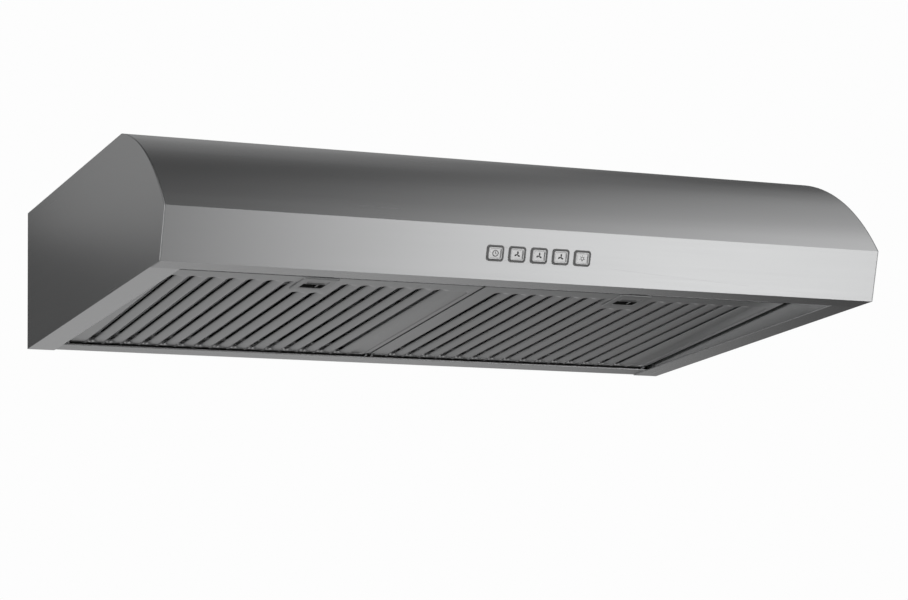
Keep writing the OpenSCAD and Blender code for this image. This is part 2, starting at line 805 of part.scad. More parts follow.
in_part_frame() {
    front_canopy();
    side_panel(-1);  // left_side_panel
    side_panel(1);  // right_side_panel
    top_panel();
    back_panel();
    lamp_panel();
    side_rail(-1);  // left_side_rail
    side_rail(1);  // right_side_rail
    filter_hangers();
    button_bezels();
    button(0);  // timer_button
    button(1);  // low_speed_button
    button(2);  // middle_speed_button
    button(3);  // high_speed_button
    button(4);  // lamp_button
    control_board();
    button_switches();
    board_posts();
    lamp_housing(-1);  // left_lamp_housing
    lamp_housing(1);  // right_lamp_housing
    lamp_lens(-1);  // left_lamp_lens
    lamp_lens(1);  // right_lamp_lens
    lamp_driver();
    scroll_housing();
    motor_plate();
    inlet_ring();
    inlet_guard();
    motor();
    motor_screws();
    impeller_hub();
    impeller_blades();
    motor_shaft();
    impeller_nut();
    capacitor();
    wiring_box();
    wiring_box_cover();
    cover_screws();
    terminal_block();
    cable_gland();
    exhaust_collar();
    collar_screws();
    damper_rod();
    damper_flap(-1);  // front_damper_flap
    damper_flap(1);  // rear_damper_flap
    filter_frame(-1);  // left_filter_frame
    lower_baffle(-1);  // left_lower_baffle
    upper_baffle(-1);  // left_upper_baffle
    hinge_rod(-1);  // left_hinge_rod
    latch_plate(-1);  // left_latch_plate
    latch_slider(-1);  // left_latch_slider
    filter_frame(1);  // right_filter_frame
    lower_baffle(1);  // right_lower_baffle
    upper_baffle(1);  // right_upper_baffle
    hinge_rod(1);  // right_hinge_rod
    latch_plate(1);  // right_latch_plate
    latch_slider(1);  // right_latch_slider
}
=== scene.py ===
"""Looks of the under cabinet range hood: materials, formed sheet detail, camera and light."""

import json
import math

import bmesh
import bpy
from mathutils import Matrix, Vector


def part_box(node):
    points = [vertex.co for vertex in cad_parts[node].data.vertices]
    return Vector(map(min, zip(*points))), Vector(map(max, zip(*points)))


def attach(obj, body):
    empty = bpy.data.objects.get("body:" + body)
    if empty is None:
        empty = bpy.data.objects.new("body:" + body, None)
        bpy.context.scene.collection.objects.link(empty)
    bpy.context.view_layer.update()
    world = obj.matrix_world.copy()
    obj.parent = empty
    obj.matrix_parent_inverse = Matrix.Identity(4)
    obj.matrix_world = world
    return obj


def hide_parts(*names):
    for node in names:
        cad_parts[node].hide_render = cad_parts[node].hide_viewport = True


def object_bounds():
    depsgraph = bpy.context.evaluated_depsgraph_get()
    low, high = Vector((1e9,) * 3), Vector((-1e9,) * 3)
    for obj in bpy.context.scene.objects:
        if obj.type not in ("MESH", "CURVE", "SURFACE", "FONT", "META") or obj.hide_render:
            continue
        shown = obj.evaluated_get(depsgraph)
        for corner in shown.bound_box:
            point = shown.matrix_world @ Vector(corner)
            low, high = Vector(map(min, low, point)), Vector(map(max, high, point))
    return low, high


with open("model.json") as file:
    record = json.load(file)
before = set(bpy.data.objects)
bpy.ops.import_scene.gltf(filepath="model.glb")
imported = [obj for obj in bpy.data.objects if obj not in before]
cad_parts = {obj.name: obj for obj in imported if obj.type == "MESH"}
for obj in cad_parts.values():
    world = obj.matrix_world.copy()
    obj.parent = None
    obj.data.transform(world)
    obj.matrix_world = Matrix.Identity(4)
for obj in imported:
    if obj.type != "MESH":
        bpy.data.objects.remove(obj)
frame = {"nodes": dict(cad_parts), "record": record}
CAD_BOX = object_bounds()
NODES = frame["nodes"]
MM = 0.001
SIDES = ("left", "right")

# Camera: where it stands in the frame, which way it looks and its lens.
CAMERA_PLACE = Vector((-1.0949, -2.6277, -0.6595))
CAMERA_YAW = math.radians(-23.391)
CAMERA_PITCH = math.radians(10.874)
CAMERA_ROLL = math.radians(-1.585)
CAMERA_LENS = 107.2
SENSOR_WIDTH = 36.0

FLOOR_DROP = 0.80
FLOOR_HALF = 3.0
FLOOR_GREY = 0.86
BACKDROP_GREY = 0.982

# Filters, in millimetres on a filter's own axes: origin on its hinge rod, -y to its front.
FILTER_TILT = math.radians(2.58)
LOWER_FACE = -3.0
UPPER_FACE = 6.0
SHEET = 0.6
SLOT_COUNT = 15
SLOT_PITCH = 20.1
SLOT_WIDTH = 7.0
SLOT_FRONT = -306.0
SLOT_FRONT_AT_LATCH = -266.0
SLOT_REAR = -2.8
UPPER_SLOT_SETBACK = 8
FILTER_FRONT = -328.3
FILTER_REAR = 10.5
FILTER_HALF = 172.7
CORNER_NOTCH = (4.5, 8.0)
LATCH_HALF = 19.0

# Controls, in millimetres.
BUTTONS = ("timer", "low_speed", "middle_speed", "high_speed", "lamp")
BUTTON_SIZE = (14.7, 12.3)
BUTTON_CORNER = 2.0
CAP_FLOOR = 0.8
FASCIA_HEIGHT = 49.0
FASCIA_SETBACK = 17.0


# ---------- frame measures ----------

def centre(node):
    low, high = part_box(node)
    return (low + high) / 2


def node_slot(node):
    for part in frame["record"]["subparts"]:
        if part["node"] == node:
            return part["material_slot"]
    raise KeyError(node)


# ---------- node trees ----------

class Tree:
    """A material's node tree with short calls for the nodes that the materials share."""

    def __init__(self, name):
        self.material = bpy.data.materials.new(name)
        self.material.use_nodes = True
        self.nodes = self.material.node_tree.nodes
        self.links = self.material.node_tree.links
        self.shader = self.nodes["Principled BSDF"]
        coordinates = self.nodes.new("ShaderNodeTexCoord")
        self.place = coordinates.outputs["Object"]

    def link(self, source, target):
        self.links.new(source, target)

    def stretched(self, scale):
        mapping = self.nodes.new("ShaderNodeMapping")
        mapping.inputs["Scale"].default_value = scale
        self.link(self.place, mapping.inputs["Vector"])
        return mapping.outputs["Vector"]

    def noise(self, scale, detail=2.0, vector=None, roughness=0.5):
        node = self.nodes.new("ShaderNodeTexNoise")
        node.inputs["Scale"].default_value = scale
        node.inputs["Detail"].default_value = detail
        node.inputs["Roughness"].default_value = roughness
        self.link(vector or self.place, node.inputs["Vector"])
        return node.outputs["Fac"]

    def cells(self, scale, vector=None):
        node = self.nodes.new("ShaderNodeTexVoronoi")
        node.inputs["Scale"].default_value = scale
        self.link(vector or self.place, node.inputs["Vector"])
        return node.outputs

    def spread(self, value, low, high, start=0.0, end=1.0):
        node = self.nodes.new("ShaderNodeMapRange")
        node.inputs["From Min"].default_value = start
        node.inputs["From Max"].default_value = end
        node.inputs["To Min"].default_value = low
        node.inputs["To Max"].default_value = high
        self.link(value, node.inputs["Value"])
        return node.outputs["Result"]

    def add(self, a, b, operation="ADD"):
        node = self.nodes.new("ShaderNodeMath")
        node.operation = operation
        for socket, value in zip(node.inputs, (a, b)):
            if isinstance(value, (int, float)):
                socket.default_value = value
            else:
                self.link(value, socket)
        return node.outputs[0]

    def blend(self, a, b, share):
        """Mixes two values, with the given share of the first."""
        return self.add(self.add(a, share, "MULTIPLY"), self.add(b, 1 - share, "MULTIPLY"))

    def ramp(self, value, stops):
        node = self.nodes.new("ShaderNodeValToRGB")
        elements = node.color_ramp.elements
        while len(elements) < len(stops):
            elements.new(0.5)
        for element, (position, colour) in zip(elements, stops):
            element.position = position
            element.color = (*colour, 1.0)
        self.link(value, node.inputs["Fac"])
        return node.outputs["Color"]

    def colour(self, value, dark, light):
        self.link(self.ramp(value, [(0.25, dark), (0.75, light)]), self.shader.inputs["Base Color"])

    def roughness(self, value, low, high):
        self.link(self.spread(value, low, high, 0.25, 0.75), self.shader.inputs["Roughness"])

    def bump(self, value, strength, distance):
        node = self.nodes.new("ShaderNodeBump")
        node.inputs["Strength"].default_value = strength
        node.inputs["Distance"].default_value = distance
        self.link(value, node.inputs["Height"])
        self.link(node.outputs["Normal"], self.shader.inputs["Normal"])

    def set(self, **values):
        for name, value in values.items():
            self.shader.inputs[name.replace("_", " ")].default_value = value


def grey(level, tint=0.0):
    return (level, level * (1 + tint / 2), level * (1 + tint))


# Brushed steel: noise scale across and along its fine and broad brush lines, and its tint.
FINE_BRUSH = (1500.0, 9.0)
BROAD_BRUSH = (260.0, 2.5)
STEEL_TINT = 0.012
QUARTER_TURN = 0.25


def brushed(name, axis, level=0.58, rough=(0.24, 0.28), anisotropy=0.5, grain=0.02, metallic=1.0):
    """Brushed stainless steel; axis is the brush lines' direction, 0 for x, 1 for y and 2 for z."""
    tree = Tree(name)
    fine, broad = [FINE_BRUSH[0]] * 3, [BROAD_BRUSH[0]] * 3
    fine[axis], broad[axis] = FINE_BRUSH[1], BROAD_BRUSH[1]
    fine_lines = tree.noise(1.0, 2.0, tree.stretched(fine))
    broad_lines = tree.noise(1.0, 2.0, tree.stretched(broad))
    clouds = tree.noise(5.0, 3.0)
    tone = tree.blend(tree.blend(fine_lines, broad_lines, 0.6), clouds, 0.8)
    dark, light = level * (1 - grain), level * (1 + grain)
    tree.colour(tone, grey(dark, STEEL_TINT), grey(light, STEEL_TINT))
    tree.roughness(tone, *rough)
    tree.bump(fine_lines, 0.05, 0.00005)
    # Brushed metal spreads a reflection across its lines, a quarter turn from the tangent.
    tree.set(Metallic=metallic, Anisotropic=anisotropy, Anisotropic_Rotation=QUARTER_TURN)
    direction = [0.0, 0.0, 0.0]
    direction[axis] = 1.0
    tangent = tree.nodes.new("ShaderNodeVectorTransform")
    tangent.vector_type = "VECTOR"
    tangent.convert_from = "OBJECT"
    tangent.convert_to = "WORLD"
    tangent.inputs["Vector"].default_value = direction
    tree.link(tangent.outputs["Vector"], tree.shader.inputs["Tangent"])
    return tree.material


def galvanised(name):
    tree = Tree(name)
    spangle = tree.cells(110.0)["Color"]
    clouds = tree.noise(30.0, 4.0)
    split = tree.nodes.new("ShaderNodeSeparateColor")
    tree.link(spangle, split.inputs["Color"])
    tone = tree.blend(split.outputs["Red"], clouds, 0.7)
    tree.colour(tone, grey(0.44, 0.03), grey(0.66, 0.03))
    tree.roughness(tone, 0.34, 0.52)
    tree.bump(clouds, 0.12, 0.0002)
    tree.set(Metallic=1.0)
    return tree.material


def polished(name, level, rough=(0.08, 0.2), tint=0.0):
    tree = Tree(name)
    scuffs = tree.noise(420.0, 4.0)
    tree.colour(scuffs, grey(level * 0.9, tint), grey(level, tint))
    tree.roughness(scuffs, *rough)
    tree.bump(scuffs, 0.05, 0.0001)
    tree.set(Metallic=1.0)
    return tree.material


def moulded(name, dark, light, rough=(0.42, 0.58), grain=1400.0, metallic=0.0):
    """Moulded plastic with a spark-eroded grain."""
    tree = Tree(name)
    texture = tree.noise(grain, 2.0)
    clouds = tree.noise(24.0, 3.0)
    tree.colour(clouds, dark, light)
    tree.roughness(texture, *rough)
    tree.bump(texture, 0.12, 0.0001)
    tree.set(Metallic=metallic)
    tree.shader.inputs["Specular IOR Level"].default_value = 0.45
    return tree.material


def painted(name, dark, light):
    tree = Tree(name)
    peel = tree.noise(320.0, 3.0)
    clouds = tree.noise(18.0, 3.0)
    tree.colour(clouds, dark, light)
    tree.roughness(peel, 0.3, 0.45)
    tree.bump(peel, 0.2, 0.0001)
    return tree.material


def diffuser(name):
    """Frosted lamp lens: milky, with fine prisms pressed into it."""
    tree = Tree(name)
    prisms = tree.cells(900.0)["Distance"]
    tree.colour(prisms, grey(0.86), grey(0.95))
    tree.roughness(prisms, 0.3, 0.5)
    tree.bump(prisms, 0.4, 0.0003)
    tree.set(Transmission_Weight=0.35, IOR=1.49)
    return tree.material


def make_materials():
    return {
        "stainless": brushed("steel_brushed_across", 0),
        "stainless_side": brushed("steel_brushed_back", 1),
        "filter_steel": brushed("filter_steel_brushed", 1, level=0.56, rough=(0.26, 0.38),
                                anisotropy=0.3, grain=0.06),
        "inner_steel": brushed("inner_sheet_dull", 1, level=0.72, rough=(0.5, 0.6),
                               grain=0.06, metallic=0.25),
        "latch_steel": brushed("latch_steel_brushed", 0, level=0.56, rough=(0.26, 0.36),
                               anisotropy=0.3),
        "galvanised": galvanised("zinc_spangle"),
        "zinc_screw": polished("zinc_plate", 0.66, (0.18, 0.34), 0.03),
        "bright_rod": polished("ground_rod", 0.72),
        "wire_chrome": polished("chromed_wire", 0.75, (0.05, 0.14)),
        "button_silver": moulded("silver_cap", grey(0.68), grey(0.72), (0.26, 0.32), metallic=0.9),
        "bezel_black": moulded("bezel_plastic", grey(0.22), grey(0.25), (0.6, 0.75)),
        "board_green": moulded("solder_mask", (0.010, 0.075, 0.030), (0.018, 0.11, 0.045),
                               (0.25, 0.4)),
        "black_plastic": moulded("black_nylon", grey(0.008), grey(0.014), (0.55, 0.7)),
        "white_plastic": moulded("white_nylon", grey(0.72, -0.04), grey(0.8, -0.04)),
        "lamp_alloy": polished("lamp_alloy_satin", 0.74, (0.24, 0.36)),
        "lamp_diffuser": diffuser("lamp_diffuser_frosted"),
        "motor_paint": painted("motor_black", grey(0.012), grey(0.022)),
        "wheel_steel": galvanised("wheel_zinc"),
        "duct_plastic": moulded("duct_black", grey(0.014), grey(0.024)),
        "flap_alloy": polished("flap_mill_finish", 0.6, (0.3, 0.45)),
        "icon_ink": moulded("icon_print", grey(0.05), grey(0.07), (0.6, 0.75)),
    }


# ---------- making pieces ----------

def piece(name, bm, body, material, space=Matrix(), bevel=0.0):
    """Turns a bmesh in millimetres into a piece that rides on a body."""
    bmesh.ops.remove_doubles(bm, verts=bm.verts, dist=1e-4)
    bmesh.ops.recalc_face_normals(bm, faces=bm.faces)
    bm.transform(space @ Matrix.Scale(MM, 4))
    mesh = bpy.data.meshes.new(name)
    bm.to_mesh(mesh)
    bm.free()
    obj = bpy.data.objects.new(name, mesh)
    bpy.context.collection.objects.link(obj)
    mesh.materials.append(material)
    for polygon in mesh.polygons:
        polygon.use_smooth = True
    if bevel:
        round_edges(obj, bevel)
    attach(obj, body)
    return obj


def round_edges(obj, width, segments=2, angle=30):
    """Small rounded edges that catch the light, with flat faces kept flat."""
    bevel = obj.modifiers.new("edges", "BEVEL")
    bevel.width = width
    bevel.segments = segments
    bevel.limit_method = "ANGLE"
    bevel.angle_limit = math.radians(angle)
    flat_normals(obj)


def flat_normals(obj):
    normals = obj.modifiers.new("normals", "WEIGHTED_NORMAL")
    normals.keep_sharp = True


def loop(bm, points, z):
    """Closed ring of vertices at one height."""
    return [bm.verts.new((x, y, z)) for x, y in points]


def bridge(bm, first, second):
    count = len(first)
    for i in range(count):
        j = (i + 1) % count
        bm.faces.new((first[i], first[j], second[j], second[i]))


def ring_edges(bm, ring):
    count = len(ring)
    found = []
    for i in range(count):
        pair = (ring[i], ring[(i + 1) % count])
        found.append(bm.edges.get(pair) or bm.edges.new(pair))
    return found


def fill(bm, *rings):
    """Flat face inside the first ring, less the rings within it."""
    edges = [edge for ring in rings for edge in ring_edges(bm, ring)]
    bmesh.ops.triangle_fill(bm, use_beauty=True, edges=edges)


def stack(bm, levels):
    """Joins closed outlines, each given as (points, z), into one skin and returns its end rings."""
    rings = [loop(bm, points, z) for points, z in levels]
    for first, second in zip(rings, rings[1:]):
        bridge(bm, first, second)
    return rings[0], rings[-1]


def capped_stack(bm, levels):
    low, high = stack(bm, levels)
    fill(bm, low)
    fill(bm, high)


def circle(radius, count=24, x=0.0, y=0.0):
    angles = [2 * math.pi * i / count for i in range(count)]
    return [(x + radius * math.cos(a), y + radius * math.sin(a)) for a in angles]


def rounded_rectangle(width, height, corner, x=0.0, y=0.0, steps=5):
    points = []
    for turn, (sx, sy) in enumerate(((1, 1), (-1, 1), (-1, -1), (1, -1))):
        cx = x + sx * (width / 2 - corner)
        cy = y + sy * (height / 2 - corner)
        for step in range(steps + 1):
            a = math.pi / 2 * (turn + step / steps)
            points.append((cx + corner * math.cos(a), cy + corner * math.sin(a)))
    return points


def stadium(left, right, front, rear, steps=8):
    """Slot outline along y whose ends are half ellipses as long as they are half wide."""
    mid, half = (left + right) / 2, (right - left) / 2
    cap = min(half, (rear - front) / 2)
    points = []
    for middle_y, start in ((rear - cap, 0.0), (front + cap, math.pi)):
        for step in range(steps + 1):
            a = start + math.pi * step / steps
            points.append((mid + half * math.cos(a), middle_y + cap * math.sin(a)))
    return points


# ---------- filters ----------

def filter_space(side):
    """From a filter's own axes to the frame."""
    rod_middle = centre(f"{side}_hinge_rod")
    return Matrix.Translation(rod_middle) @ Matrix.Rotation(-FILTER_TILT, 4, "X")


def filter_outline(inset):
    """Outline of a filter's sheets, stepped in at its rear corners."""
    half, notch_x, notch_y = FILTER_HALF - inset, CORNER_NOTCH[0], -CORNER_NOTCH[1]
    right = [(half, FILTER_FRONT + inset), (half, notch_y - inset),
             (half - notch_x, notch_y - inset), (half - notch_x, FILTER_REAR - inset)]
    return right + [(-x, y) for x, y in reversed(right)]


def slot_left(index):
    return (index - SLOT_COUNT / 2) * SLOT_PITCH


def slot_front(left, width=SLOT_WIDTH):
    near = abs(left + width / 2) < LATCH_HALF + width / 2
    return SLOT_FRONT_AT_LATCH if near else SLOT_FRONT


def pressed_slot(bm, left, width, front, rear, rolls, up=1):
    """Slot whose rim is rolled inwards, by levels of the kind listed below."""
    levels = [(stadium(left - a, left + width + b, front - c, rear + c), up * z)
              for a, b, c, z in rolls]
    return stack(bm, levels)


# Each level: growth to the left, to the right and at the ends, and height.
LOWER_ROLLS = [(-0.2, -0.4, 0.0, 1.7), (0.0, 0.5, 0.1, 1.25), (0.4, 1.8, 0.3, 0.8),
               (1.0, 3.5, 0.7, 0.46), (1.5, 5.4, 1.1, 0.24), (2.3, 7.5, 1.5, 0.07),
               (3.2, 9.6, 1.9, 0.0)]
UPPER_ROLLS = [(0.0, 0.0, 0.0, 2.4), (0.1, 0.1, 0.1, 1.2), (0.4, 0.4, 0.3, 0.4),
               (1.2, 1.2, 1.1, 0.0)]
MARGIN_PRESS = [(-0.8, -1.2, -0.6, 0.8), (-0.3, -0.4, -0.2, 0.55), (0.1, 0.1, 0.1, 0.16),
                (0.6, 0.6, 0.5, 0.0)]
MARGIN_PRESS_WIDTH = 16.5

# Latch window, in the sheet and in the cover over it.
LATCH_WINDOW = (25.0, 28.4)
COVER_WINDOW = (24.0, 27.4)
WINDOW_CORNER = 1.5
LATCH_WINDOW_Y = -300.8

# Domes: measures, and where each stands from its slot's left rear corner.
DOME_RADIUS = 1.8
DOME_HEIGHT = 0.5
DOME_ROWS = 4
DOME_SIDES = 16
DOME_SHIFT = (-0.6, 3.6)
DOME_SINK = 0.05


def lower_baffle(side, material):
    """Formed sheet with rolled slots, a pressed margin on its right and folded edges."""
    bm = bmesh.new()
    fold = [(filter_outline(inset), z) for inset, z in ((0.0, 0.08), (0.1, 0.03), (0.35, 0.0))]
    holes = [stack(bm, fold)[1]]
    for index in range(SLOT_COUNT):
        left = slot_left(index)
        slot = pressed_slot(bm, left, SLOT_WIDTH, slot_front(left), SLOT_REAR, LOWER_ROLLS)
        holes.append(slot[1])
    floor, rim = pressed_slot(bm, slot_left(SLOT_COUNT), MARGIN_PRESS_WIDTH, SLOT_FRONT, SLOT_REAR,
                              MARGIN_PRESS)
    fill(bm, floor)
    holes.append(rim)
    window = rounded_rectangle(*LATCH_WINDOW, WINDOW_CORNER, y=LATCH_WINDOW_Y)
    holes.append(loop(bm, window, 0.0))
    fill(bm, *holes)
    space = filter_space(side) @ Matrix.Translation((0, 0, LOWER_FACE * MM))
    obj = piece(f"{side}_lower_baffle_sheet", bm, f"{side}_filter", material, space)
    thicken(obj, SHEET)
    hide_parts(f"{side}_lower_baffle")


def thicken(obj, thickness):
    """Gives a skin its sheet thickness on the inner side."""
    solid = obj.modifiers.new("sheet", "SOLIDIFY")
    solid.thickness = thickness * MM
    solid.offset = -1
    flat_normals(obj)


def baffle_dimples(side, material):
    """Small domes pressed at the rear end of each strip."""
    bm = bmesh.new()
    for index in range(SLOT_COUNT + 1):
        x, y = slot_left(index) + DOME_SHIFT[0], SLOT_REAR + DOME_SHIFT[1]
        levels = []
        for row in range(DOME_ROWS):
            a = math.pi / 2 * row / DOME_ROWS
            ring = circle(DOME_RADIUS * math.cos(a), DOME_SIDES, x, y)
            levels.append((ring, LOWER_FACE + DOME_SINK - DOME_HEIGHT * math.sin(a)))
        capped_stack(bm, levels)
    piece(f"{side}_baffle_dimples", bm, f"{side}_filter", material,
          filter_space(side))


def upper_baffle(side, material):
    """Sheet above the lower one, with its slots over that one's strips."""
    inset = 0.7
    bm = bmesh.new()
    holes = [loop(bm, filter_outline(inset), 0.0)]
    for index in range(SLOT_COUNT - 1):
        left = slot_left(index) + SLOT_PITCH / 2
        slot = pressed_slot(bm, left, SLOT_WIDTH, slot_front(left), SLOT_REAR - UPPER_SLOT_SETBACK,
                            UPPER_ROLLS, up=-1)
        holes.append(slot[1])
    fill(bm, *holes)
    space = filter_space(side) @ Matrix.Translation((0, 0, (UPPER_FACE + SHEET) * MM))
    obj = piece(f"{side}_upper_baffle_sheet", bm, f"{side}_filter", material, space)
    thicken(obj, SHEET)
    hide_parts(f"{side}_upper_baffle")


def latch_plate(side, material):
    """Raised cover round the latch window."""
    face, rise = LOWER_FACE, 0.9
    width, height, corner, mid = 38.0, 48.0, 3.0, -301.5
    bm = bmesh.new()
    outer = [(rounded_rectangle(width - 2 * inset, height - 2 * inset, corner - inset, y=mid),
              face - z)
             for inset, z in ((0, 0), (0, 0.1), (0.25, 0.5), (0.7, 0.8), (1.3, rise))]
    window = [(rounded_rectangle(COVER_WINDOW[0] + 2 * grow, COVER_WINDOW[1] + 2 * grow,
                                 WINDOW_CORNER + grow, y=LATCH_WINDOW_Y),
               face - z)
              for grow, z in ((0, 0), (0, 0.6), (0.15, 0.8), (0.5, rise))]
    outer_low, outer_high = stack(bm, outer)
    inner_low, inner_high = stack(bm, window)
    fill(bm, outer_low, inner_low)
    fill(bm, outer_high, inner_high)
    obj = piece(f"{side}_latch_cover", bm, f"{side}_filter", material,
                filter_space(side))
    flat_normals(obj)
    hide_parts(f"{side}_latch_plate")


def latch_slider(side, steel, black):
    """Moulded bolt with a finger cup, and a steel pad clipped on its front half."""
    pad_z, base_z, base_top = -3.8, -2.3, -1.1
    cup_front, cup_rear, pad_front = -302.4, -290.0, -314.2
    half, nose_half, nose_front = 11.7, 10.0, -329.5
    base_front, base_rear, base_width = -326.5, -282.0, 28.0
    cup_wall, cup_floor, back_top, overlap = 0.8, 0.6, 1.0, 0.4
    space = filter_space(side)

    bm = bmesh.new()
    cup_mid, cup_depth = (cup_front + cup_rear) / 2, cup_rear - cup_front
    mouth = rounded_rectangle(2 * half, cup_depth, 1.2, y=cup_mid)
    inner = rounded_rectangle(2 * half - 2 * cup_wall, cup_depth - 2 * cup_wall, 0.8, y=cup_mid)
    cup_low, cup_lip = stack(bm, [(mouth, base_z), (mouth, pad_z)])
    floor, inner_lip = stack(bm, [(inner, cup_floor), (inner, pad_z)])
    fill(bm, cup_lip, inner_lip)
    fill(bm, floor)
    base_mid, base_length = (base_front + base_rear) / 2, base_rear - base_front
    base = rounded_rectangle(base_width, base_length, 2.0, y=base_mid)
    base_low, base_high = stack(bm, [(base, base_z), (base, base_top)])
    fill(bm, base_low, cup_low)
    back = rounded_rectangle(2 * half - 0.4, cup_depth - 0.4, 1.0, y=cup_mid)
    back_low, back_high = stack(bm, [(back, base_top), (back, back_top)])
    fill(bm, base_high, back_low)
    fill(bm, back_high)
    nose_mid = (nose_front + base_front) / 2 + overlap / 2
    nose_length = base_front - nose_front + overlap
    nose = [(rounded_rectangle(2 * nose_half - 2 * inset, nose_length - 2 * inset, 1.0 - inset,
                               y=nose_mid), z)
            for inset, z in ((0.3, base_z), (0.0, base_z + 0.3),
                             (0.0, base_top - 0.3), (0.3, base_top))]
    capped_stack(bm, nose)
    bolt = piece(f"{side}_latch_bolt", bm, f"{side}_latch", black, space,
                 bevel=0.15 * MM)
    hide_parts(f"{side}_latch_slider")

    bm = bmesh.new()
    pad_mid, pad_length = (pad_front + cup_front) / 2, cup_front - pad_front
    pad = [(rounded_rectangle(2 * half - 2 * inset, pad_length - 2 * inset,
                              max(1.2 - inset, 0.2), y=pad_mid), z)
           for inset, z in ((0.0, base_z), (0.0, pad_z + 0.5), (0.2, pad_z + 0.1), (0.6, pad_z),
                            (1.6, pad_z), (2.2, pad_z + 0.45), (3.2, pad_z + 0.6))]
    capped_stack(bm, pad)
    rib = rounded_rectangle(0.9, cup_depth - 1.0, 0.3, x=4.4, y=cup_mid)
    capped_stack(bm, [(rib, pad_z + 0.1), (rib, pad_z + 1.4)])
    piece(f"{side}_latch_pad", bm, f"{side}_latch", steel, space)


def make_filters(materials):
    for side in SIDES:
        lower_baffle(side, materials["filter_steel"])
        baffle_dimples(side, materials["filter_steel"])
        upper_baffle(side, materials["inner_steel"])
        latch_plate(side, materials["latch_steel"])
        latch_slider(side, materials["latch_steel"], materials["black_plastic"])


# ---------- controls ----------

def fascia_space(x):
    """From axes on the fascia's middle line, x across, y up it and z out of it, to the frame."""
    low = CAD_BOX[0]
    angle = math.atan2(FASCIA_SETBACK, FASCIA_HEIGHT)
    up = math.hypot(FASCIA_SETBACK, FASCIA_HEIGHT) / 2
    foot = Matrix.Translation((x, low[1] + FASCIA_SETBACK * MM, low[2]))
    return foot @ Matrix.Rotation(math.pi / 2 + angle, 4, "X") @ Matrix.Translation((0, up * MM, 0))


def button_cap(name, x, material):
    """Button with a softened, slightly dished cap, on a stem."""
    width, height = BUTTON_SIZE
    stem_radius, stem_end, stem_top = 2.0, -9.0, -4.05
    bm = bmesh.new()
    shape = ((0.0, -4.0), (0.0, 0.35), (0.12, 0.7), (0.4, 0.93), (0.8, 1.0), (1.3, 0.95),
             (2.2, CAP_FLOOR))
    levels = [(rounded_rectangle(width - 2 * inset, height - 2 * inset,
                                 max(BUTTON_CORNER - inset, 0.5)), z)
              for inset, z in shape]
    capped_stack(bm, levels)
    stem = circle(stem_radius, 20)
    capped_stack(bm, [(stem, stem_end), (stem, stem_top)])
    cap = piece(f"{name}_cap", bm, f"{name}_key", material, fascia_space(x))
    flat_normals(cap)
    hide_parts(f"{name}_button")


def slab(bm, outline, holes=()):
    """Thin raised print on a button cap."""
    bottom, top = CAP_FLOOR - 0.02, CAP_FLOOR + 0.06
    low, high = stack(bm, [(outline, bottom), (outline, top)])
    inner = [stack(bm, [(hole, bottom), (hole, top)]) for hole in holes]
    fill(bm, low, *[ring[0] for ring in inner])
    fill(bm, high, *[ring[1] for ring in inner])


def turned(points, angle, x=0.0, y=0.0):
    c, s = math.cos(angle), math.sin(angle)
    return [(x + px * c - py * s, y + px * s + py * c) for px, py in points]


def bar(width, length, angle=0.0, x=0.0, y=0.0):
    """Bar that starts at a point and runs along an angle."""
    outline = [(0, -width / 2), (length, -width / 2), (length, width / 2), (0, width / 2)]
    return turned(outline, angle, x, y)


def timer_icon(bm):
    slab(bm, circle(3.2, 32), [circle(2.5, 32)])
    slab(bm, bar(0.6, 1.9, math.pi / 2))
    slab(bm, bar(0.6, 1.5, -math.pi / 5))


def fan_icon(bm):
    outline = [(0.15, -0.45), (1.5, -1.2), (2.8, -0.9), (3.3, 0.1), (2.5, 0.5), (1.1, 0.4),
               (0.15, 0.4)]
    for blade in range(3):
        slab(bm, turned(outline, math.pi / 2 + blade * 2 * math.pi / 3))


def lamp_icon(bm):
    ray_start = 2.4
    slab(bm, circle(1.8, 28), [circle(1.2, 28)])
    slab(bm, bar(0.5, 1.6, 0.0, -0.8, -2.3))
    for ray in range(5):
        angle = math.radians(-20 + 55 * ray)
        x, y = ray_start * math.cos(angle), ray_start * math.sin(angle)
        slab(bm, bar(0.45, 0.9, angle, x, y))


def make_controls(materials):
    icons = (timer_icon, fan_icon, fan_icon, fan_icon, lamp_icon)
    for name, icon in zip(BUTTONS, icons):
        x = centre(f"{name}_button").x
        button_cap(name, x, materials["button_silver"])
        bm = bmesh.new()
        icon(bm)
        piece(f"{name}_icon", bm, f"{name}_key", materials["icon_ink"],
              fascia_space(x))


# ---------- parts behind the filters and on top ----------

def rod(bm, start, end, radius, count=14):
    """Round bar between two points, with softened ends."""
    run = Vector(end) - Vector(start)
    turn = run.to_track_quat("Z", "Y").to_matrix().to_4x4()
    made = bmesh.new()
    soft = min(0.3 * radius, run.length / 4)
    full, end_face = circle(radius, count), circle(radius - soft, count)
    capped_stack(made, [(end_face, 0.0), (full, soft),
                        (full, run.length - soft), (end_face, run.length)])
    made.transform(Matrix.Translation(start) @ turn)
    skin = bpy.data.meshes.new("rod")
    made.to_mesh(skin)
    made.free()
    bm.from_mesh(skin)
    bpy.data.meshes.remove(skin)


def block(bm, low, high, corner=0.4):
    """Upright block with rounded corners and a softened top and bottom."""
    x, y = (low[0] + high[0]) / 2, (low[1] + high[1]) / 2
    width, depth = high[0] - low[0], high[1] - low[1]
    soft = corner / 3
    levels = ((soft, low[2]), (0, low[2] + soft), (0, high[2] - soft), (soft, high[2]))
    capped_stack(bm, [(rounded_rectangle(width - 2 * inset, depth - 2 * inset, corner, x, y, 3), z)
                      for inset, z in levels])


def bead(bm, radius, z, height, swell, x=0.0, y=0.0):
    """Rounded band round a cylinder."""
    steps, sides = 6, 64
    levels = []
    for i in range(steps + 1):
        ring = circle(radius + swell * math.sin(math.pi * i / steps), sides, x, y)
        levels.append((ring, z + height * i / steps))
    stack(bm, levels)


